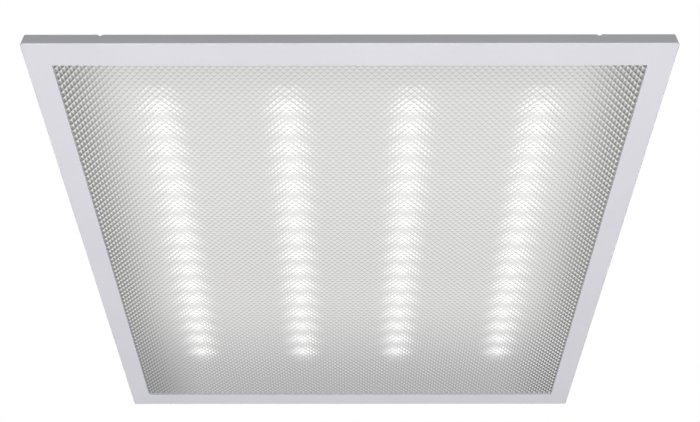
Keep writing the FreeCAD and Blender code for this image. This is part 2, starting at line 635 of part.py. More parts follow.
def driver_cover():
    """The screwed cover over the driver."""
    folds = folded_lid("driver_cover", f"-{HOUSING_END}", f"{PARTITION} - cover_fit", HOUSING_TOP,
                       True, False, True)
    holes = [rod(f"driver_cover_hole_{number}", "screw_radius + screw_clearance", "4 * housing_sheet",
                 (x, y, f"{HOUSING_TOP} - 2 * housing_sheet"))
             for number, (x, y) in enumerate(tab_places(), start=1)]
    keep("driver_cover", cut("driver_cover", folds, *holes))


def wiring_cover():
    """The hinged cover over the wiring space, and its hinge pin."""
    lid = folded_lid("wiring_cover", f"{PARTITION} + cover_fit", HOUSING_END, HINGE_Z,
                     False, True, False)
    start = f"({knuckle_starts()[0]} + knuckle_length + knuckle_gap)"
    length = f"({knuckle_starts()[1]} - knuckle_gap - {start})"
    knuckle = rod("cover_knuckle", "knuckle_radius", length, (start, HINGE_Y, HINGE_Z), X_AXIS)
    tongue = block("cover_tongue", (length, "hinge_reach", "housing_sheet"), (start, HOUSING_BACK, HINGE_Z))
    hole = rod("cover_hinge_hole", "hinge_pin_radius + hinge_fit", "wiring_length",
               (PARTITION, HINGE_Y, HINGE_Z), X_AXIS)
    keep("wiring_cover", cut("wiring_cover", fuse("cover_blank", lid, knuckle, tongue), hole))
    pin_start = f"({knuckle_starts()[0]} - pin_end)"
    pin_length = f"{knuckle_starts()[1]} + knuckle_length + pin_end - {pin_start}"
    keep("cover_hinge_pin", rod("cover_hinge_pin", "hinge_pin_radius", pin_length,
                                (pin_start, HINGE_Y, HINGE_Z), X_AXIS))


def grommet(name, radii, lip, grip, foot, axis):
    """A rubber ring with a lip each side of the sheet that it sits in; foot is the inner lip's end."""
    flange, neck, bore = radii

    def along(distance):
        return [f"{start} + {round(part)} * ({distance})" for start, part in zip(foot, axis)]

    inner = rod(f"{name}_inner_lip", flange, lip, foot, axis)
    waist = rod(f"{name}_waist", neck, grip, along(lip), axis)
    outer = rod(f"{name}_outer_lip", flange, lip, along(f"{lip} + {grip}"), axis)
    hole = rod(f"{name}_bore", bore, f"2 * {lip} + {grip}", foot, axis)
    keep(name, cut(name, fuse(f"{name}_blank", inner, waist, outer), hole))


def grommets():
    """The supply entry in the housing's end wall and the lead bush through the tray."""
    grommet("supply_grommet", ("grommet_flange", "grommet_neck", "grommet_bore"),
            "grommet_lip", "housing_sheet",
            (f"{HOUSING_END} - housing_sheet - grommet_lip", HOUSING_MIDDLE, SUPPLY_Z), X_AXIS)
    grommet("lead_grommet", ("lead_flange", "lead_neck", "lead_bore"),
            "lead_lip", "(housing_sheet + tray_sheet)",
            (LEAD_X, LEAD_Y, f"{BOARD_TOP} - lead_lip"), Z_AXIS)


def driver_card():
    """The driver's circuit card on four snap standoffs."""
    inset_x = [f"{CARD_LEFT} + standoff_inset", f"{CARD_LEFT} + {CARD_LENGTH} - standoff_inset"]
    inset_y = [f"{CARD_FRONT} + standoff_inset", f"{CARD_FRONT} + card_depth - standoff_inset"]
    corners = [(x, y) for x in inset_x for y in inset_y]
    plate = block("card_plate", (CARD_LENGTH, "card_depth", "card_thickness"),
                  (CARD_LEFT, CARD_FRONT, f"{FLOOR} + standoff_height"))
    holes = [rod(f"card_hole_{number}", "standoff_pin + rivet_fit", "3 * card_thickness",
                 (x, y, f"{FLOOR} + standoff_height - card_thickness"))
             for number, (x, y) in enumerate(corners, start=1)]
    keep("driver_card", cut("driver_card", plate, *holes))
    leg = rod("standoff_leg", "standoff_radius", "standoff_height", ("0", "0", "0"))
    stem = rod("standoff_stem", "standoff_pin", "card_thickness", ("0", "0", "standoff_height"))
    snap = rod("standoff_snap", "(standoff_radius + standoff_pin) / 2", "standoff_pin",
               ("0", "0", "standoff_height + card_thickness"))
    standoff = fuse("card_standoff", leg, stem, snap)
    keep("card_standoffs", copies("card_standoffs", standoff, [(x, y, FLOOR) for x, y in corners]))


CARD_ROW = ("sink_length", "core_length", "(capacitor_gap + 2 * capacitor_radius)",
            "2 * (choke_radius + choke_wire)")


def card_place(turn, across="card_depth / 2"):
    """The foot of a component in the card's row, which stands evenly spaced between the connectors."""
    first = f"({LEAD_X} + connector_length / 2)"
    last = f"({CARD_LEFT} + {CARD_LENGTH} - connector_inset - connector_length)"
    total = " + ".join(CARD_ROW)
    gap = f"({last} - {first} - ({total})) / {len(CARD_ROW) + 1}"
    before = " + ".join(CARD_ROW[:turn]) or "0 * connector_length"
    return (f"{first} + {turn + 1} * {gap} + {before} + ({CARD_ROW[turn]}) / 2",
            f"{CARD_FRONT} + {across}", CARD_TOP)


def card_components():
    """The large components of the driver: what fills the housing."""
    foot = card_place(0)
    plate = middle_block("sink_plate", ("sink_length", "fin_thickness", "sink_height"), foot)
    fins = [middle_block(f"sink_fin_{fin}", ("fin_thickness", "sink_width", "sink_height"),
                         (f"{foot[0]} + ({fin} / (fin_count - 1) - 1 / 2) * (sink_length - fin_thickness)",
                          foot[1], foot[2]))
            for fin in range(int(size("fin_count")))]
    keep("heat_sink", fuse("heat_sink", plate, *fins))
    foot = card_place(1)
    solid = middle_block("core_solid", ("core_length", "core_width", "core_height"), foot)
    window = ("core_length - 2 * core_leg", "2 * core_width", "core_height - 2 * core_leg")
    hole = middle_block("core_window", window, (foot[0], foot[1], f"{foot[2]} + core_leg"))
    core = cut("transformer_core", solid, hole)
    coil = middle_block("transformer_coil", (window[0], "core_width + 2 * coil_wrap", window[2]),
                        (foot[0], foot[1], f"{foot[2]} + core_leg"))
    keep("transformer", group("transformer", [core, coil]))
    can = rod("capacitor_can", "capacitor_radius", "capacitor_height", ("0", "0", "0"))
    foot = card_place(2)
    pair = [(f"{foot[0]} + {sign} * capacitor_gap / 2", foot[1], foot[2]) for sign in (-1, 1)]
    keep("bulk_capacitors", copies("bulk_capacitors", can, pair))
    foot = card_place(3, "card_depth / 2 - choke_radius")
    ring = doc.addObject("Part::Torus", "choke_ring")
    ring.setExpression("Radius1", bound("choke_radius"))
    ring.setExpression("Radius2", bound("choke_wire"))
    keep("mains_choke", place(ring, (foot[0], foot[1], f"{foot[2]} + choke_wire")))
    keep("film_capacitor", middle_block("film_capacitor", ("film_length", "film_width", "film_height"),
                                        card_place(3, "card_depth - 2 * film_width")))
    outlet = middle_block(
        "output_connector", ("connector_length", "connector_length", "connector_height"),
        (LEAD_X, f"{CARD_FRONT} + card_depth - connector_inset - connector_length / 2", CARD_TOP))
    inlet = middle_block(
        "input_connector", ("connector_length", "connector_width", "connector_height"),
        (f"{CARD_LEFT} + {CARD_LENGTH} - connector_inset - connector_length / 2",
         f"{pole_y(0)} + pole_pitch / 2", CARD_TOP))
    keep("card_connectors", group("card_connectors", [outlet, inlet]))


def pole_y(pole):
    """The middle line of one terminal, counted from 0."""
    return f"({HOUSING_MIDDLE} + ({pole} - (pole_count - 1) / 2) * pole_pitch)"


def terminal_block():
    """The push-in terminal block and its release buttons."""
    body = middle_block("terminal_body", ("block_length", BLOCK_DEPTH, "block_height"),
                        (f"{BLOCK_FACE} + block_length / 2", HOUSING_MIDDLE, FLOOR))
    well = "(button_side + 2 * button_fit)"
    depth = "(button_height - button_rise + button_travel + button_fit)"
    cutters = []
    for pole in range(int(size("pole_count"))):
        y = pole_y(pole)
        cutters.append(middle_block(f"button_well_{pole}", (well, well, f"2 * {depth}"),
                                    (f"{BLOCK_FACE} + block_length / 2", y, f"{BLOCK_TOP} - {depth}")))
        cutters.append(rod(f"supply_entry_{pole}", "entry_radius", "2 * entry_depth",
                           (f"{BLOCK_FACE} + block_length - entry_depth", y, ENTRY_Z), X_AXIS))
        cutters.append(rod(f"lead_entry_{pole}", "mains_lead_radius + rivet_fit", "2 * entry_depth",
                           (f"{BLOCK_FACE} - entry_depth", y, ENTRY_Z), X_AXIS))
    keep("terminal_block", cut("terminal_block", body, *cutters))
    for pole in range(int(size("pole_count"))):
        name = f"release_button_{pole + 1}"
        foot = (f"{BLOCK_FACE} + block_length / 2", pole_y(pole),
                f"{BLOCK_TOP} + button_rise - button_height")
        key = middle_block(f"{name}_key", ("button_side", "button_side", "button_height"), foot)
        groove = middle_block(f"{name}_groove", ("button_side / 4", "2 * button_side", "button_rise"),
                              (foot[0], foot[1], f"{BLOCK_TOP} + button_rise / 2"))
        keep(name, cut(name, key, groove))


def earth_lug():
    """The ring lug under the earth screw, with its crimp barrel."""
    ring = rod("lug_ring", "lug_radius", "lug_thickness", (EARTH_X, EARTH_Y, FLOOR))
    barrel = block("lug_barrel", ("lug_radius", "lug_radius", "2 * mains_lead_radius + lug_thickness"),
                   (f"{EARTH_X} - lug_radius / 2", f"{EARTH_Y} - 2 * lug_radius + lug_thickness / 2", FLOOR))
    hole = rod("lug_hole", "screw_radius + thread_fit", "4 * lug_thickness",
               (EARTH_X, EARTH_Y, f"{FLOOR} - lug_thickness"))
    keep("earth_lug", cut("earth_lug", fuse("lug_blank", ring, barrel), hole))


def grid_clip(number, x, degrees):
    """One hold-down clip: its arm lies flat on the back and swings up over the grid's tee."""
    barrel_length = "(clip_bracket_width - 2 * clip_bracket_sheet - 2 * clip_side_gap)"
    y = f"-{CLIP_Y}"
    start = f"{x} - {barrel_length} / 2"
    reach = f"(tee_height + hook_gap - {CLIP_Z})"
    underside = f"{CLIP_Z} + clip_pin_radius + clip_fit"
    barrel = rod(f"clip_barrel_{number}", CLIP_BARREL, barrel_length, (start, y, CLIP_Z), X_AXIS)
    arm = block(f"clip_arm_{number}", (barrel_length, f"{reach} + clip_sheet", "clip_sheet"),
                (start, y, underside))
    hook = block(f"clip_hook_{number}", (barrel_length, "clip_sheet", "hook_length"),
                 (start, f"{y} + {reach}", underside))
    bore = rod(f"clip_bore_{number}", "clip_pin_radius + clip_fit", "clip_bracket_width",
               (f"{x} - clip_bracket_width / 2", y, CLIP_Z), X_AXIS)
    clip = cut(f"grid_clip_{number}", fuse(f"clip_blank_{number}", barrel, arm, hook), bore)
    keep(f"grid_clip_{number}", turned(clip, degrees))


def clip_mount(number, x, degrees):
    """The bracket that carries one clip on the tray's rim, and the headed pin it swings on."""
    y = f"-{CLIP_Y}"
    base = middle_block(f"bracket_base_{number}",
                        ("clip_bracket_width", "clip_bracket_depth", "clip_bracket_sheet"), (x, y, RIM_TOP))
    ear = ("clip_bracket_sheet", "clip_bracket_depth", f"{CLIP_Z} + {CLIP_BARREL} - {RIM_TOP}")
    ears = [middle_block(f"bracket_ear_{number}_{label}", ear,
                         (f"{x} + {sign} * (clip_bracket_width - clip_bracket_sheet) / 2", y, RIM_TOP))
            for label, sign in (("left", -1), ("right", 1))]
    hole = rod(f"bracket_hole_{number}", "clip_pin_radius + clip_fit", "2 * clip_bracket_width",
               (f"{x} - clip_bracket_width", y, CLIP_Z), X_AXIS)
    folds = fuse(f"bracket_blank_{number}", base, *ears)
    bracket = turned(cut(f"clip_bracket_{number}", folds, hole), degrees)
    length = "(clip_bracket_width + 2 * clip_fit)"
    shaft = rod(f"pin_shaft_{number}", "clip_pin_radius", length, (f"{x} - {length} / 2", y, CLIP_Z), X_AXIS)
    heads = [rod(f"pin_head_{number}_left", "pin_head_radius", "pin_head_length",
                 (f"{x} - {length} / 2 - pin_head_length", y, CLIP_Z), X_AXIS),
             rod(f"pin_head_{number}_right", "pin_head_radius", "pin_head_length",
                 (f"{x} + {length} / 2", y, CLIP_Z), X_AXIS)]
    pin = turned(fuse(f"clip_pin_{number}", shaft, *heads), degrees)
    return bracket, pin


def grid_clips():
    """Four clips beside the frame's notches, two on the near wall and two on the far one."""
    pairs = []
    for number, (sign, degrees) in enumerate(((-1, 0), (1, 0), (-1, 180), (1, 180)), start=1):
        grid_clip(number, f"({sign} * {NOTCH})", degrees)
        pairs.append(clip_mount(number, f"({sign} * {NOTCH})", degrees))
    keep("clip_brackets", group("clip_brackets", [bracket for bracket, pin in pairs]))
    keep("clip_pins", group("clip_pins", [pin for bracket, pin in pairs]))


def tube(name, points, radius):
    """A lead through points: straight runs joined by tangent arcs as large as the runs allow."""
    points = [FreeCAD.Vector(*point) for point in points]
    edges = []
    start = points[0]
    for before, corner, after in zip(points, points[1:], points[2:]):
        back, on = (before - corner), (after - corner)
        half = (math.pi - back.getAngle(on)) / 2
        bend = BEND_SHARE * min(back.Length, on.Length) / math.tan(half)
        trim = bend * math.tan(half)
        back.normalize()
        on.normalize()
        first, last = corner + back * trim, corner + on * trim
        inward = (back + on).normalize()
        middle = corner + inward * (bend / math.cos(half) - bend)
        edges.append(Part.LineSegment(start, first).toShape())
        edges.append(Part.Arc(first, middle, last).toShape())
        start = last
    edges.append(Part.LineSegment(start, points[-1]).toShape())
    path = Part.Wire(edges)
    way = points[1] - points[0]
    section = Part.Wire(Part.Circle(points[0], way, radius).toShape())
    solid = path.makePipeShell([section], True, False)
    expected = math.pi * radius ** 2 * path.Length
    assert abs(solid.Volume - expected) < VOLUME_SHARE * expected, f"{name} isn't a clean tube"
    return solid


def lead(name, solids):
    """A node of leads whose shapes are worked out from the pieces that they join."""
    piece = doc.addObject("Part::Feature", name)
    piece.Shape = Part.makeCompound(solids) if len(solids) > 1 else solids[0]
    keep(name, piece)


def box_of(name):
    """The bounds of a finished piece."""
    return doc.getObject(name).Shape.BoundBox


def strip_leads():
    """The red and black leads from the driver down to the first strip and on from strip to strip."""
    radius, spacing, reach = size("strip_lead_radius"), size("strip_lead_spacing"), size("lead_reach")
    plugs = [box_of(f"strip_plug_{strip + 1}") for strip in range(int(size("strip_count")))]
    source, bush = box_of("output_connector"), box_of("lead_grommet")
    face, level = plugs[0].YMax, (plugs[0].ZMin + plugs[0].ZMax) / 2
    top = (source.ZMin + source.ZMax) / 2
    for name, side, outer in (("red_leads", 1, 0), ("black_leads", -1, 1)):
        drop_x, drop_y = bush.Center.x + side * spacing / 2, bush.Center.y + side * spacing / 2
        pin = plugs[0].Center.x - spacing * (1 + side / 2)
        solids = [tube(name, [(drop_x, source.YMax, top), (drop_x, drop_y, top), (drop_x, drop_y, level),
                              (pin, drop_y, level), (pin, face, level)], radius)]
        turn = face + reach + outer * spacing
        for here, there in zip(plugs, plugs[1:]):
            offset = spacing * (1 + side / 2)
            begin, finish = here.Center.x + offset, there.Center.x - offset
            solids.append(tube(name, [(begin, face, level), (begin, turn, level),
                                      (finish, turn, level), (finish, face, level)], radius))
        lead(name, solids)


def mains_leads():
    """Live and neutral to the driver's card, and earth to its lug on the housing floor."""
    radius = size("mains_lead_radius")
    card_side, block_side = box_of("input_connector"), box_of("terminal_block")
    level = box_of("housing_base").ZMin + size("housing_sheet") + size("entry_height")
    inner_end = block_side.XMin + size("entry_depth")
    lines = [block_side.Center.y + (pole - (size("pole_count") - 1) / 2) * size("pole_pitch")
             for pole in range(int(size("pole_count")))]
    for name, line in zip(("live_lead", "neutral_lead"), lines):
        lead(name, [tube(name, [(inner_end, line, level), (card_side.XMax, line, level)], radius)])
    lug = box_of("earth_lug")
    low = lug.ZMin + size("lug_thickness") / 2 + radius
    slope = (lug.YMin - lines[2]) / 2
    lead("earth_lead", [tube("earth_lead", [(inner_end, lines[2], level), (lug.Center.x, lines[2], level),
                                            (lug.Center.x, lines[2] + slope, low),
                                            (lug.Center.x, lug.YMin, low)], radius)])


BEND_SHARE = 0.45  # share of the shorter run that an arc takes
VOLUME_SHARE = 0.01  # how far a swept lead's volume may leave section times length

face_frame()
back_tray()
flat_pieces()
retaining_rails()
for post in range(4):
    corner_post(f"corner_post_{post + 1}", 90 * post)
screws()
led_strips()
suspension_nuts()
housing_base()
driver_cover()
wiring_cover()
grommets()
driver_card()
card_components()
terminal_block()
earth_lug()
grid_clips()
doc.recompute()
strip_leads()
mains_leads()
doc.recompute()

for item in doc.Objects:
    assert "Invalid" not in item.State and "Error" not in item.State, f"{item.Name}: {item.State}"
for node in nodes:
    assert not node.Shape.isNull() and node.Shape.isValid(), f"{node.Label} has no valid shape"
os.makedirs("parts", exist_ok=True)
for node in nodes:
    node.Shape.exportStep(f"parts/{node.Label}.step")
print(len(nodes), "nodes,", sum(len(node.Shape.Solids) for node in nodes), "solids")
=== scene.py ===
"""A recessed troffer light of the backlit panel kind, lit, seen from below as it hangs in a ceiling.

The CAD nodes give every rigid piece its place. This script gives them their finishes, forms the
prismatic diffuser and the pressed back, and lights the whole. A piece's lengths are written in
millimetres and become metres where its mesh is made. Those of the stage and the lamps are in metres.
"""
import json
import math
import bpy
import numpy as np
from mathutils import Matrix, Vector

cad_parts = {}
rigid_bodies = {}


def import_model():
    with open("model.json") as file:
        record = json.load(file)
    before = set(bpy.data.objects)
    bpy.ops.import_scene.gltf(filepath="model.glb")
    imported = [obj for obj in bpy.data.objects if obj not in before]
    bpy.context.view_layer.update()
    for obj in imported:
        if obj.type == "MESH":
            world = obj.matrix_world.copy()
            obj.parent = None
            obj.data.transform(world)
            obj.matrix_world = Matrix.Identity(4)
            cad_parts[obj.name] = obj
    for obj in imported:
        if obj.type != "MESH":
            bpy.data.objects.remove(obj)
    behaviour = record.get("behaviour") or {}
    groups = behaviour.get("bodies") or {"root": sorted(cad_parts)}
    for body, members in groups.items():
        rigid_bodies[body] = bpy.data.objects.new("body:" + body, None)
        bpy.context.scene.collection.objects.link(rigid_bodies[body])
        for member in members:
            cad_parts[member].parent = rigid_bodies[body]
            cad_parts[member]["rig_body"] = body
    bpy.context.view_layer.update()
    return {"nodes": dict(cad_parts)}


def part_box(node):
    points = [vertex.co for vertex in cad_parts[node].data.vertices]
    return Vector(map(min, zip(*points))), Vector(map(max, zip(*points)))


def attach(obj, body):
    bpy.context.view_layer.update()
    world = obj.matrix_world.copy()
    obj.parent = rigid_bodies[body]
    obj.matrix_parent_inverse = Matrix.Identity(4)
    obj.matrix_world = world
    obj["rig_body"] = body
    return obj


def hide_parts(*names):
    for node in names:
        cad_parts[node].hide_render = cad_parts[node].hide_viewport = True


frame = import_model()

MM = 0.001


# ---------------------------------------------------------------- camera

CAMERA_PLACE = (0.4, -755.3, -662.1)   # mm: below the panel and on its near side
CAMERA_PITCH = 44.552                  # degrees above the horizon
CAMERA_YAW = 0.026                     # degrees to the left of straight on
CAMERA_ROLL = -0.020                   # degrees
CAMERA_LENS = 45.244                   # mm on a sensor 36 mm wide
CAMERA_NEAREST = 10.0                  # mm, nothing nearer is drawn


def set_camera():
    """The photograph's viewpoint: a camera under the ceiling, looking up across the panel."""
    camera = bpy.data.objects.new("camera", bpy.data.cameras.new("camera"))
    bpy.context.scene.collection.objects.link(camera)
    camera.data.lens = CAMERA_LENS
    camera.data.clip_start = CAMERA_NEAREST * MM
    turn = Matrix.Rotation(math.radians(CAMERA_YAW), 4, "Z")
    tilt = Matrix.Rotation(math.radians(90 + CAMERA_PITCH), 4, "X")
    roll = Matrix.Rotation(math.radians(CAMERA_ROLL), 4, "Z")
    camera.matrix_world = Matrix.Translation(Vector(CAMERA_PLACE) * MM) @ turn @ tilt @ roll
    bpy.context.scene.camera = camera


# ---------------------------------------------------------------- shader maths

class Link:
    """One output socket of a finish. Arithmetic on it adds Math nodes."""

    def __init__(self, finish, socket):
        self.finish = finish
        self.socket = socket

    def math(self, operation, *others):
        """The value of an operation on this one and the others."""
        return self.finish.math(operation, self, *others)

    def __add__(self, other):
        return self.math("ADD", other)

    def __sub__(self, other):
        return self.math("SUBTRACT", other)

    def __rsub__(self, other):
        return self.finish.math("SUBTRACT", other, self)

    def __mul__(self, other):
        return self.math("MULTIPLY", other)

    def __truediv__(self, other):
        return self.math("DIVIDE", other)

    def __pow__(self, power):
        return self.math("POWER", power)

    def __abs__(self):
        return self.math("ABSOLUTE")

    def __gt__(self, other):
        return self.math("GREATER_THAN", other)

    __radd__ = __add__
    __rmul__ = __mul__

    def part(self, axis):
        """One axis of a vector, X, Y or Z."""
        return self.finish.node("ShaderNodeSeparateXYZ", {}, {0: self}, axis)

    def ramp(self, start, end, low=0.0, high=1.0):
        """A smooth step from low to high as the value goes from start to end."""
        settings = {"interpolation_type": "SMOOTHSTEP"}
        values = {"Value": self, "From Min": start, "From Max": end, "To Min": low, "To Max": high}
        return self.finish.node("ShaderNodeMapRange", settings, values)

    def bell(self, width):
        """A bell curve of height 1 about zero: exp(-(value / width)^2 / 2)."""
        share = self / width
        return (share * share * -0.5).math("EXPONENT")


def between(share, start, end):
    """The value that lies a share of the way from start to end."""
    return start + (end - start) * share


class Finish:
    """A material or world in the making: its tree, its shader and the one method that adds nodes."""

    def __init__(self, name, kind="materials", shader="Principled BSDF"):
        self.made = getattr(bpy.data, kind).new(name)
        self.made.use_nodes = True
        self.tree = self.made.node_tree
        self.shader = self.tree.nodes[shader]

    def node(self, kind, settings, values, output=0):
        """A node of a kind, its settings first and then its inputs, as values or links."""
        node = self.tree.nodes.new(kind)
        for name, value in settings.items():
            setattr(node, name, value)
        for name, value in values.items():
            self.feed(node.inputs[name], value)
        return Link(self, node.outputs[output])

    def feed(self, socket, value):
        """Link a socket, or set it to a constant."""
        if isinstance(value, Link):
            self.tree.links.new(value.socket, socket)
        elif isinstance(value, tuple) and len(socket.default_value) == 4:
            socket.default_value = (*value, 1)
        else:
            socket.default_value = value

    def math(self, operation, *values):
        """A Math node's result."""
        return self.node("ShaderNodeMath", {"operation": operation}, dict(enumerate(values)))

    def place(self):
        """Object coordinates, in metres."""
        return self.node("ShaderNodeTexCoord", {}, {}, "Object")

    def stretched(self, scale):
        """Object coordinates, scaled by a factor along each axis."""
        return self.node("ShaderNodeMapping", {}, {"Vector": self.place(), "Scale": scale})

    def noise(self, scale, detail=2.0, roughness=0.5, place=None):
        """Soft noise about 0.5, with so many features to the metre."""
        values = {"Vector": place or self.place(), "Scale": scale, "Detail": detail, "Roughness": roughness}
        return self.node("ShaderNodeTexNoise", {}, values)

    def cells(self, scale, output="Distance", feature="F1"):
        """A cell pattern, with so many cells to the metre."""
        values = {"Vector": self.place(), "Scale": scale}
        return self.node("ShaderNodeTexVoronoi", {"feature": feature}, values, output)

    def mix(self, factor, first, second):
        """A colour between two colours. A Mix node's colours are its sockets 6 and 7, its result is 2."""
        return self.node("ShaderNodeMix", {"data_type": "RGBA"}, {0: factor, 6: first, 7: second}, 2)

    def bumps(self, height, depth, strength):
        """Relief of a height field, with its full depth in millimetres."""
        values = {"Height": height, "Distance": depth * MM, "Strength": strength}
        self.set(Normal=self.node("ShaderNodeBump", {}, values, "Normal"))

    def set(self, **inputs):
        """Inputs of the shader; an underscore stands for a space."""
        for name, value in inputs.items():
            self.feed(self.shader.inputs[name.replace("_", " ")], value)


# ---------------------------------------------------------------- finishes

def powder_coat(name, colour):
    """Satin white powder coat: a fine orange-peel relief and a faint unevenness of tone."""
    finish = Finish(name)
    peel = finish.noise(1400, 3.0, 0.55)
    drift = finish.noise(7, 2.0)
    shade = tuple(0.975 * part for part in colour)
    finish.set(Base_Color=finish.mix(drift.ramp(0.35, 0.65), shade, colour))
    finish.set(Roughness=0.42 + 0.12 * peel, IOR=1.5)
    finish.bumps(peel, depth=0.06, strength=0.6)
    return finish.made


def coated_steel(name):
    """White coil-coated sheet: smooth, a little glossier, with faint rolling marks along X."""
    finish = Finish(name)
    rolled = finish.noise(60, 3.0, 0.6, finish.stretched((0.08, 1, 1)))
    drift = finish.noise(5, 2.0)
    finish.set(Base_Color=finish.mix(drift.ramp(0.35, 0.65), (0.80, 0.80, 0.81), (0.84, 0.84, 0.85)))
    finish.set(Roughness=0.34 + 0.14 * rolled, IOR=1.5)
    finish.bumps(rolled, depth=0.05, strength=0.4)
    return finish.made


def galvanised(name):
    """Zinc-dipped sheet: flat crystals of differing grey and gloss, each with its own slight tilt."""
    finish = Finish(name)
    crystal = finish.cells(130, "Color")
    tone = crystal.part("X")
    gloss = crystal.part("Y")
    grain = finish.noise(900, 2.0)
    finish.set(Base_Color=finish.mix(tone, (0.42, 0.43, 0.44), (0.62, 0.63, 0.64)))
    finish.set(Metallic=0.9, Roughness=0.34 + 0.22 * gloss + 0.06 * grain)
    finish.bumps(tone * 0.4 + grain * 0.3, depth=0.08, strength=0.5)
    return finish.made


def plated_steel(name, colour, roughness):
    """Plated steel: fine random brushing and small changes of gloss."""
    finish = Finish(name)
    brushed = finish.noise(700, 4.0, 0.7, finish.stretched((0.15, 1, 1)))
    blotch = finish.noise(45, 3.0)
    dark = tuple(0.82 * part for part in colour)
    finish.set(Base_Color=finish.mix(blotch.ramp(0.3, 0.7), dark, colour))
    finish.set(Metallic=1.0, Roughness=roughness + 0.12 * brushed)
    finish.bumps(brushed, depth=0.02, strength=0.5)
    return finish.made


def moulded(name, colour, roughness, relief=0.03):
    """Moulded plastic, rubber or insulation: a fine matt grain, its relief in mm, and uneven colour."""
    finish = Finish(name)
    grain = finish.noise(2600, 2.0)
    drift = finish.noise(120, 3.0)
    dark = tuple(0.86 * part for part in colour)
    finish.set(Base_Color=finish.mix(drift.ramp(0.3, 0.7), dark, colour))
    finish.set(Roughness=roughness + 0.1 * grain, IOR=1.5)
    finish.bumps(grain, depth=relief, strength=0.5)
    return finish.made


def earth_insulation(name):
    """Green insulation with a yellow stripe along each side of the lead."""
    finish = Finish(name)
    turns = finish.place().part("X") * 2600
    stripe = turns.math("SINE") > 0.1
    finish.set(Base_Color=finish.mix(stripe, (0.06, 0.30, 0.09), (0.78, 0.70, 0.08)))
    finish.set(Roughness=0.42, IOR=1.5)
    return finish.made


def circuit_card(name):
    """Green solder mask over copper tracks, which show as slightly raised, lighter lines."""
    finish = Finish(name)
    tracks = finish.cells(160, "Distance", "DISTANCE_TO_EDGE") > 0.09
    weave = finish.noise(1800, 2.0)
    finish.set(Base_Color=finish.mix(tracks, (0.02, 0.12, 0.05), (0.04, 0.22, 0.09)))
    finish.set(Roughness=0.28 + 0.15 * weave, IOR=1.5)
    finish.bumps(tracks, depth=0.04, strength=0.6)
    return finish.made


def foam(name, colour):
    """Closed-cell foam: pin-prick cells all over."""
    finish = Finish(name)
    pores = finish.cells(1700)
    dark = tuple(0.6 * part for part in colour)
    finish.set(Base_Color=finish.mix(pores.ramp(0.1, 0.5), dark, colour))
    finish.set(Roughness=0.9)
    finish.bumps(pores, depth=0.2, strength=0.8)
    return finish.made


def winding(name):
    """Enamelled copper wire wound round a ring: fine ribs about the ring's own axis."""
    finish = Finish(name)
    ribs = finish.noise(900, 1.0, 0.5, finish.stretched((1, 1, 0.1)))
    finish.set(Base_Color=finish.mix(ribs.ramp(0.35, 0.65), (0.30, 0.09, 0.03), (0.72, 0.30, 0.12)))
    finish.set(Metallic=0.7, Roughness=0.35)
    finish.bumps(ribs, depth=0.3, strength=0.8)
    return finish.made


def phosphor(name):
    """A lit chip: a yellow phosphor window that glows white."""
    finish = Finish(name)
    window = finish.cells(900).ramp(0.0, 0.6)
    finish.set(Base_Color=finish.mix(window, (0.90, 0.78, 0.30), (0.95, 0.90, 0.60)))
    finish.set(Emission_Color=(1.0, 0.98, 0.93), Emission_Strength=1.0, Roughness=0.5)
    return finish.made


# ---------------------------------------------------------------- the lit diffuser, its light and shade painted as emission

STRIP_INNER = 60.0        # mm from the middle line to the glow of an inner strip
STRIP_OUTER_NEAR = 183.5  # mm to the glow of an outer strip at its near end
STRIP_OUTER_FAR = 191.0   # mm, and at its far end
STRIP_NEAR_END = -243.0   # mm, where the strips begin
STRIP_FAR_END = 189.0     # mm, where they end
GLOW_BEGINS = (-252.0, -240.0)   # mm, where the row of glows comes up
GLOW_ENDS = (200.0, 188.0)       # mm, where it dies away
GLOW_FIRST = -225.0       # mm, the middle of the first glow
GLOW_PITCH = 26.7         # mm from one glow to the next
GLOW_SWELL = 0.38         # how far the glow rises and sinks about its mean, once for each chip
GLOW_LAG = 0.55           # how far a glow falls back along the strip for each mm to its side
AWAY_LAG = 16.0           # mm that the facets on the far sides of the prisms show a glow later
NEAR_SHIFT = 7.5          # mm that a facet on a prism's near side moves a strip sideways
AWAY_SHIFT = 5.0          # mm that a facet on a prism's far side does
FAR_SHIFT = 0.75          # share of both that is left at the far end
NEAR_WIDTH = 9.0          # mm, the spread of a strip in the facets on the near sides
AWAY_WIDTH = 8.5          # mm, and in those on the far sides
NEAR_GLOW = 0.55          # how bright a strip is in the facets on the near sides
AWAY_GLOW = 0.22          # and in those on the far sides
PANEL_TONE = 0.56         # how bright the evenly lit middle is
FAR_SHADED_SHARE = 0.62           # share of that which is left at the far edge, where the glow is painted darker
NEAR_PAINTED_GAIN = 1.13          # the near part's painted brightness against the middle's
NEAR_EDGE_SHARE = 0.88          # share of that which is left at the near edge
SIDE_START = (205.0, 190.0)   # mm to each side, where the painted shade of the sides begins: near part, far part
SIDE_END = 274.0              # mm, where it is dimmest
SIDE_EVEN = (0.03, -0.17)     # share of light that every facet loses to painted shade there: near part, far part
SIDE_LOSS = (0.68, 0.84)      # share that one which looks outwards loses besides, as painted shade, in the same parts
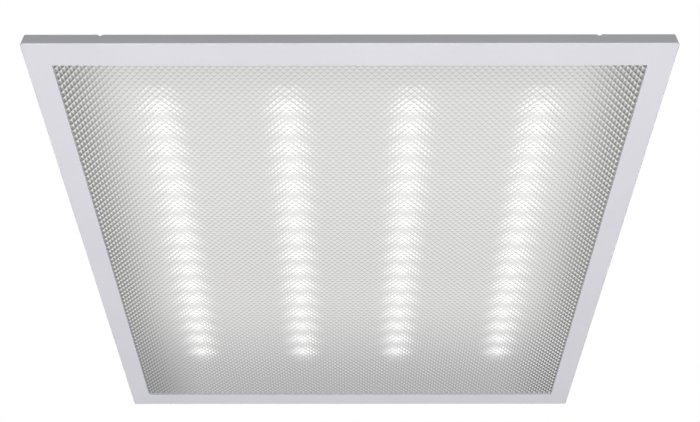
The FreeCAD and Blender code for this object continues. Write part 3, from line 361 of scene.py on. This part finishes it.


def painted_strip_glow(across, along, sideways, turned_away):
    """How much of the strips' light is painted on one facet, placed where the camera under the panel sees
    the strips through it.

    A facet moves what is seen through it sideways, so each strip is seen as a bell in the facets that
    face left and as another in those that face right. The two part further on the prisms' near sides,
    and less towards the far end. The bells swell once for each chip, and each swelling falls back along
    the strip to both sides. The strip's ends are cut the same way: pointed at the near end, and notched
    at the far end.
    """
    shift = between(turned_away, NEAR_SHIFT, AWAY_SHIFT) * along.ramp(100, 200, 1.0, FAR_SHIFT)
    width = between(turned_away, NEAR_WIDTH, AWAY_WIDTH)
    seen_across = abs(across - sideways * shift)
    seen_along = along - AWAY_LAG * turned_away
    slant = (STRIP_OUTER_FAR - STRIP_OUTER_NEAR) / (STRIP_FAR_END - STRIP_NEAR_END)
    outer = (along - STRIP_NEAR_END) * slant + STRIP_OUTER_NEAR
    offset = abs(seen_across - STRIP_INNER).math("MINIMUM", abs(seen_across - outer))
    lag = GLOW_LAG * offset
    begins = (seen_along - lag).ramp(*GLOW_BEGINS)
    ends = (seen_along + lag).ramp(*GLOW_ENDS)
    phase = (seen_along - lag - GLOW_FIRST) * (2 * math.pi / GLOW_PITCH)
    swell = (1 - GLOW_SWELL) + GLOW_SWELL * phase.math("COSINE")
    return offset.bell(width) * begins * ends * swell


def painted_panel_light(across, along, sideways, turned_away, depth):
    """The light painted on one facet between the strips, with painted light and shade that change along and
    across the sheet and with the facet's side.
    """
    # painted light and shade: the near part is brighter than the middle, and darker again at the near edge
    near_part = along.ramp(-285, -225, NEAR_EDGE_SHARE, 1.0) * along.ramp(-170, 60, NEAR_PAINTED_GAIN, 1.0)
    # painted shade: facets that look outwards at the dark wall of the tray dim first, the others hardly at
    # all
    far_off = along.ramp(60, 230)
    side = abs(across).ramp(between(far_off, *SIDE_START), SIDE_END)
    looks_out = (1 - sideways * across.math("SIGN")) * 0.5
    painted_side_shade = between(far_off, *SIDE_EVEN) + between(far_off, *SIDE_LOSS) * looks_out
    # painted shade: facets on the far sides of the prisms show less of the light box, and the more so the
    # further off they are; beyond the strips the left and right facets differ instead
    part_away = along.ramp(-270, 120, 0.42, 1.0) * (0.25 - 0.75 * turned_away)
    part_sideways = along.ramp(60, 215, 0.0, 0.20) * sideways
    return PANEL_TONE * depth * near_part * (1 - side * painted_side_shade) * (1 + part_away) * (1 + part_sideways)


def painted_prism_glow(name):
    """Clear prismatic sheet in front of lit strips, its look painted on as emission: the strips' real glow,
    placed and shaded as the camera under the panel sees it through each facet, with painted shade towards
    the far edge and the sides.

    The attribute "facet" holds the side that each facet's slope faces, -1 or 1 in X and in Y, and 0 on
    the sheet's rim and top.
    """
    finish = Finish(name)
    place = finish.place()
    across = place.part("X") / MM
    along = place.part("Y") / MM
    facet = finish.node("ShaderNodeAttribute", {"attribute_name": "facet"}, {}, "Vector")
    sideways = facet.part("X")
    turned_away = (1 + facet.part("Y")) * 0.5

    # painted shade: the whole glow dims towards the far edge
    depth = along.ramp(46, 285, 1.0, FAR_SHADED_SHARE)
    panel = painted_panel_light(across, along, sideways, turned_away, depth)
    glow = painted_strip_glow(across, along, sideways, turned_away) * between(turned_away, NEAR_GLOW, AWAY_GLOW)
    speck = finish.noise(420, 2.0)
    light = (panel + glow) * (0.985 + 0.03 * speck)
    # the painted dimming also cools the tint towards the far edge
    tint = finish.mix(depth.ramp(FAR_SHADED_SHARE, 1.0), (0.985, 0.985, 1.0), (1.0, 0.995, 0.98))
    colour = finish.node("ShaderNodeVectorMath", {"operation": "SCALE"}, {0: tint, "Scale": light})
    # a dark base, so that the painted emission gives nearly all of the sheet's light and shade
    finish.set(Base_Color=(0.06, 0.06, 0.06), Roughness=0.16, IOR=1.49)
    finish.set(Emission_Color=colour, Emission_Strength=1.0)
    return finish.made


# what each slot of the part is finished with
FINISHES = {
    "white_powder_coat": lambda name: powder_coat(name, (0.84, 0.84, 0.895)),
    "white_coated_steel": coated_steel,
    "prismatic_plastic": painted_prism_glow,
    "grey_foam": lambda name: foam(name, (0.35, 0.35, 0.36)),
    "zinc_steel": lambda name: plated_steel(name, (0.72, 0.73, 0.74), 0.26),
    "rivet_aluminium": lambda name: plated_steel(name, (0.80, 0.80, 0.81), 0.38),
    "galvanised_steel": galvanised,
    "red_insulation": lambda name: moulded(name, (0.62, 0.03, 0.03), 0.38),
    "black_insulation": lambda name: moulded(name, (0.025, 0.025, 0.028), 0.38),
    "brown_insulation": lambda name: moulded(name, (0.19, 0.08, 0.035), 0.38),
    "blue_insulation": lambda name: moulded(name, (0.04, 0.14, 0.50), 0.38),
    "green_yellow_insulation": earth_insulation,
    "black_rubber": lambda name: moulded(name, (0.02, 0.02, 0.021), 0.62, 0.09),
    "green_card": circuit_card,
    "white_nylon": lambda name: moulded(name, (0.80, 0.80, 0.76), 0.40),
    "dark_ferrite": lambda name: moulded(name, (0.05, 0.05, 0.055), 0.55, 0.12),
    "black_sleeve": lambda name: moulded(name, (0.03, 0.03, 0.045), 0.28),
    "copper_winding": winding,
    "yellow_film": lambda name: moulded(name, (0.72, 0.52, 0.06), 0.30),
    "grey_nylon": lambda name: moulded(name, (0.42, 0.43, 0.44), 0.42),
    "orange_nylon": lambda name: moulded(name, (0.85, 0.25, 0.03), 0.40),
    "tinned_copper": lambda name: plated_steel(name, (0.74, 0.72, 0.68), 0.30),
    "white_board": lambda name: moulded(name, (0.88, 0.88, 0.86), 0.35),
    "led_phosphor": phosphor,
    "spring_steel": lambda name: plated_steel(name, (0.46, 0.47, 0.49), 0.24),
}


# ---------------------------------------------------------------- meshes

def grid_rim(index):
    """The outer points of a grid of point numbers, once round."""
    return np.concatenate([index[0, :-1], index[:-1, -1], index[-1, :0:-1], index[:0:-1, 0]])


def show(name, points, faces, slot, node):
    """A mesh in millimetres that takes a CAD node's place on its body, with the finish of its slot."""
    mesh = bpy.data.meshes.new(name)
    mesh.from_pydata((np.asarray(points) * MM).tolist(), [], faces)
    piece = bpy.data.objects.new(name, mesh)
    bpy.context.scene.collection.objects.link(piece)
    mesh.materials.append(finishes[slot])
    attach(piece, frame["nodes"][node]["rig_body"])
    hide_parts(node)
    return piece


PRISM_STEPS = 164   # half prisms across the sheet, so 4.8 mm from row to row
PRISM_DEPTH = 1.3   # mm from a valley to a point


def prism_facets(steps):
    """The facets of a square grid of points, as triangles, and the side that each one's slope faces.

    Points whose two numbers add up to an even number are the corners of the prisms' bases and the
    others are their tips, so each square of the grid is split from corner to corner and gives one facet
    to each of the two prisms that meet in it.
    """
    row, column = np.meshgrid(np.arange(steps), np.arange(steps), indexing="ij")
    wide = steps + 1
    here = row * wide + column
    right, up, across = here + 1, here + wide, here + wide + 1
    tip_here = ((row + column) % 2 == 1)[..., None]
    # the square's tips lie at (here, across) where tip_here, and at (right, up) elsewhere
    first = np.where(tip_here, np.stack([here, up, right], -1), np.stack([right, here, across], -1))
    second = np.where(tip_here, np.stack([across, right, up], -1), np.stack([up, across, here], -1))
    side = np.where(tip_here, (1, 1), (-1, 1))
    faces = np.concatenate([first.reshape(-1, 3), second.reshape(-1, 3)])
    sides = np.concatenate([side.reshape(-1, 2), -side.reshape(-1, 2)])
    return faces, sides


def prismatic_diffuser():
    """The diffuser's sheet: flat on top, and below it square pyramids turned by 45 degrees.

    On a square grid of points, z = tip level where the point's two numbers add up to an odd number and
    z = tip level + depth elsewhere, so every facet slopes along a diagonal.
    """
    low, high = (np.array(corner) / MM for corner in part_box("diffuser"))
    line_x = np.linspace(low[0], high[0], PRISM_STEPS + 1)
    line_y = np.linspace(low[1], high[1], PRISM_STEPS + 1)
    y, x = np.meshgrid(line_y, line_x, indexing="ij")
    row, column = np.indices(x.shape)
    z = np.where((row + column) % 2 == 1, low[2], low[2] + PRISM_DEPTH)
    under = np.stack([x, y, z], -1).reshape(-1, 3)
    facets, sides = prism_facets(PRISM_STEPS)

    index = np.arange(x.size).reshape(x.shape)
    rim = grid_rim(index)
    over = under[rim] * (1, 1, 0) + (0, 0, high[2])
    top = x.size + np.arange(len(rim))
    edge = np.stack([rim, np.roll(rim, -1), np.roll(top, -1), top], -1)
    faces = facets.tolist() + edge.tolist() + [top.tolist()]
    points = np.concatenate([under, over])
    piece = show("prismatic_diffuser", points, faces, "prismatic_plastic", "diffuser")

    facing = np.zeros((len(faces), 3), np.float32)
    facing[:len(sides), :2] = sides
    attribute = piece.data.attributes.new("facet", "FLOAT_VECTOR", "FACE")
    attribute.data.foreach_set("vector", facing.ravel())


# ---------------------------------------------------------------- the pressed back

SCREW_HEAD = 1.8      # mm that a tray screw's head stands on the rim
RIM_WIDTH = 26.0      # mm from the tray's edge to the foot of the ramp
RAMP_RUN = 10.0       # mm
RAMP_CORNER = 14.0    # mm, the radius of the ramp's foot at the corners
EDGE_BEND = 1.0       # mm, the outer radius of the bend from rim to skirt
SHEET = 0.5           # mm
EDGE_CORNER = 2.1     # mm, the radius of the skirt's corners
BEAD_HALF = 7.0       # mm, half of a bead's width
BEAD_FLAT = 0.35      # share of that which is flat at the bead's bottom
BEAD_DEPTH = 2.0      # mm
BEAD_START = -210.0   # mm, the near end of each bead
BEAD_ENDS = {-235.0: 210.0, -126.0: 150.0, 0.0: 150.0, 126.0: 150.0, 235.0: 210.0}   # mm: place and far end
NOTCH_PLACE = 227.0   # mm to each side, where the frame's wall is notched
NOTCH_RADIUS = 2.0    # mm
NOTCH_LEVEL = 14.0    # mm, the top of the frame's wall
NOTCH_REACH = 6.0     # mm in from the edge, as far as the rim follows a notch
GRID_STEP = 16.0      # mm, the widest spacing of the skin's grid lines
CREASE = 40.0         # degrees, past which an edge is shaded as sharp


def soft_step(value):
    """0 below 0, 1 above 1 and 3 t^2 - 2 t^3 between."""
    held = np.clip(value, 0, 1)
    return held * held * (3 - 2 * held)


def clustered_lines(half, features, step):
    """Grid lines from -half to half: those of each feature, and others no more than a step apart."""
    lines = np.unique(np.round(np.concatenate([[-half, half], *features]), 3))
    lines = lines[abs(lines) <= half]
    extra = [np.linspace(a, b, int(np.ceil((b - a) / step)) + 1)[1:-1] for a, b in zip(lines, lines[1:])]
    return np.sort(np.concatenate([lines, *extra]))


def tray_level(x, y, rim, plateau, edge):
    """The height of the tray's skin: a plateau, a ramp with round corners, a flat rim and sunk beads.

    The ramp is a soft step of the distance inside a square with round corners. A bead sinks by a soft
    step of the distance from its middle line, so its ends are round. At a notch the rim follows the
    lower half of the notch's circle.
    """
    foot = edge - RIM_WIDTH
    core = foot - RAMP_CORNER
    outside = np.hypot(np.maximum(abs(x) - core, 0), np.maximum(abs(y) - core, 0)) - RAMP_CORNER
    z = rim + (plateau - rim) * soft_step(-outside / RAMP_RUN)
    for place, end in BEAD_ENDS.items():
        beyond = np.maximum(np.maximum(BEAD_START + BEAD_HALF - y, y - end + BEAD_HALF), 0)
        distance = np.hypot(x - place, beyond)
        z = z - BEAD_DEPTH * (1 - soft_step((distance / BEAD_HALF - BEAD_FLAT) / (1 - BEAD_FLAT)))
    from_notch = abs(abs(x) - NOTCH_PLACE)
    arc = NOTCH_LEVEL - np.sqrt(np.maximum(NOTCH_RADIUS ** 2 - from_notch ** 2, 0))
    notched = (from_notch < NOTCH_RADIUS) & (abs(y) > edge - NOTCH_REACH)
    return np.where(notched, np.minimum(z, arc), z)


def ring_round(loop, half, corner, inner):
    """A loop of points on a square, moved out to a square of another half side with round corners."""
    core = half - corner
    middle = loop * core / inner
    out = np.maximum(abs(middle) - (core - corner), 0) * np.sign(middle)
    return middle + corner * out / np.linalg.norm(out, axis=1, keepdims=True)


def pressed_tray():
    """The tray's sheet: a height field inside, and rings that bend down into the skirt at its edge."""
    low, high = (np.array(corner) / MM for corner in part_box("back_tray"))
    edge, plateau, skirt_foot = high[0], high[2], low[2]
    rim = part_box("tray_screws")[1][2] / MM - SCREW_HEAD
    flat = edge - 2 * EDGE_BEND - EDGE_CORNER   # as far as the grid goes; rings carry on from there
    bead_side = BEAD_HALF * np.linspace(-1, 1, 15)
    ramp = np.linspace(edge - RIM_WIDTH - RAMP_RUN, edge - RIM_WIDTH, 9)
    notch = NOTCH_RADIUS * np.array([-1.001, -0.999, -0.85, -0.6, -0.3, 0, 0.3, 0.6, 0.85, 0.999, 1.001])
    notches = [sign * NOTCH_PLACE + notch for sign in (-1, 1)]
    notch_start = (edge - NOTCH_REACH) * np.array([-1, -0.9999, 0.9999, 1])
    corners = flat - EDGE_CORNER * np.linspace(0, 1, 5)
    sides = [ramp, -ramp, corners, -corners]
    beads = [place + bead_side for place in BEAD_ENDS]
    ends = [BEAD_START + BEAD_HALF, *(end - BEAD_HALF for end in sorted(set(BEAD_ENDS.values())))]
    line_x = clustered_lines(flat, [*sides, *beads, *notches], GRID_STEP)
    line_y = clustered_lines(flat, [*sides, notch_start, *(end + bead_side for end in ends)], GRID_STEP)
    y, x = np.meshgrid(line_y, line_x, indexing="ij")
    points = [np.stack([x, y, tray_level(x, y, rim, plateau, edge)], -1).reshape(-1, 3)]
    index = np.arange(x.size).reshape(x.shape)
    faces = [np.stack([index[:-1, :-1], index[:-1, 1:], index[1:, 1:], index[1:, :-1]], -1).reshape(-1, 4)]

    # each ring is a half side and a level: a quarter turn round the bend, then straight down the skirt
    last = grid_rim(index)
    loop = points[0][last, :2]
    bend = np.linspace(0, math.pi / 2, 5)
    halves = [*(edge - EDGE_BEND * (1 - np.sin(bend))), edge, edge]
    levels = [*(rim - EDGE_BEND * (1 - np.cos(bend))), 0.6 * rim + 0.4 * skirt_foot, skirt_foot]
    for ring, (half, level) in enumerate(zip(halves, levels)):
        place = ring_round(loop, half, EDGE_CORNER, flat)
        notched = tray_level(place[:, 0], place[:, 1], rim, plateau, edge)
        points.append(np.column_stack([place, np.minimum(level, notched)]))
        here = x.size + ring * len(loop) + np.arange(len(loop))
        faces.append(np.stack([last, here, np.roll(here, -1), np.roll(last, -1)], -1))
        last = here
    piece = show("pressed_tray", np.concatenate(points), np.concatenate(faces).tolist(),
                 "white_coated_steel", "back_tray")
    thick = piece.modifiers.new("sheet", "SOLIDIFY")
    thick.thickness = SHEET * MM
    thick.offset = -1
    piece.data.polygons.foreach_set("use_smooth", [True] * len(piece.data.polygons))
    piece.data.set_sharp_from_angle(angle=math.radians(CREASE))


# ---------------------------------------------------------------- stage and lamps

FLOOR_DROP = 2.7      # m from the panel's face down to the floor
FLOOR_HALF = 12.0     # m, half of the floor's side
FLOOR_FADE = (0.5, 2.2)   # m from the middle, between which the floor fades into the white
FLOOR_WHITE = 0.45    # share of white that the camera sees below the panel
AMBIENT = 0.10        # share of the plain level that comes from all around


def stage_floor():
    """A pale floor that fades into the white surroundings a few metres off."""
    mesh = bpy.data.meshes.new("floor")
    sides = ((-1, -1), (1, -1), (1, 1), (-1, 1))
    corners = [(x * FLOOR_HALF, y * FLOOR_HALF, -FLOOR_DROP) for x, y in sides]
    mesh.from_pydata(corners, [], [(0, 1, 2, 3)])
    floor = bpy.data.objects.new("floor", mesh)
    bpy.context.scene.collection.objects.link(floor)
    finish = Finish("pale_floor")
    finish.set(Base_Color=(0.82, 0.82, 0.82), Roughness=0.9)
    place = finish.place()
    reach = (place.part("X") ** 2 + place.part("Y") ** 2) ** 0.5
    seen = finish.node("ShaderNodeLightPath", {}, {}, "Is Camera Ray")
    whiteness = reach.ramp(*FLOOR_FADE, FLOOR_WHITE, 1.0) * seen
    white = finish.node("ShaderNodeEmission", {}, {"Color": (1, 1, 1), "Strength": 1.0})
    pale = Link(finish, finish.shader.outputs[0])
    shown = finish.node("ShaderNodeMixShader", {}, {0: whiteness, 1: pale, 2: white})
    finish.feed(finish.tree.nodes["Material Output"].inputs["Surface"], shown)
    mesh.materials.append(finish.made)


def surroundings():
    """White for the camera, for mirrored and for refracted rays, and a plain soft light for the rest."""
    sky = Finish("surroundings", "worlds", "Background")
    kinds = ("Is Camera Ray", "Is Glossy Ray", "Is Transmission Ray")
    seen, mirrored, refracted = (sky.node("ShaderNodeLightPath", {}, {}, kind) for kind in kinds)
    white = seen.math("MAXIMUM", mirrored).math("MAXIMUM", refracted)
    sky.set(Color=(1, 1, 1), Strength=between(white, AMBIENT, 1.0))
    bpy.context.scene.world = sky.made


def lamp(name, place, aim, side, level):
    """A square soft lamp. Level is the share of the plain level that it gives at its aim, in metres."""
    data = bpy.data.lights.new(name, "AREA")
    light = bpy.data.objects.new(name, data)
    bpy.context.scene.collection.objects.link(light)
    data.size = side
    way = Vector(aim) - Vector(place)
    # a plate of area A and radiance L gives E = L A / d^2 head on, and the plain level is E = pi
    radiance = level * math.pi * way.length_squared / side ** 2
    data.energy = radiance * math.pi * side ** 2
    light.visible_camera = False
    light.location = place
    light.rotation_mode = "QUATERNION"
    light.rotation_quaternion = way.to_track_quat("-Z", "Y")


# ---------------------------------------------------------------- the model

set_camera()
finishes = {slot: make(slot) for slot, make in FINISHES.items()}
for node in frame["nodes"].values():
    for slot in node.material_slots:
        slot.material = finishes[slot.material.name.split(".")[0]]
prismatic_diffuser()
pressed_tray()

stage_floor()
surroundings()
lamp("lamp_below", place=(0, -1.05, -2.45), aim=(0, -0.05, 0), side=1.2, level=0.74)
lamp("lamp_above", place=(0.6, 0.8, 2.1), aim=(0, 0, 0), side=2.6, level=1.05)

bpy.context.scene.view_settings.view_transform = "Standard"
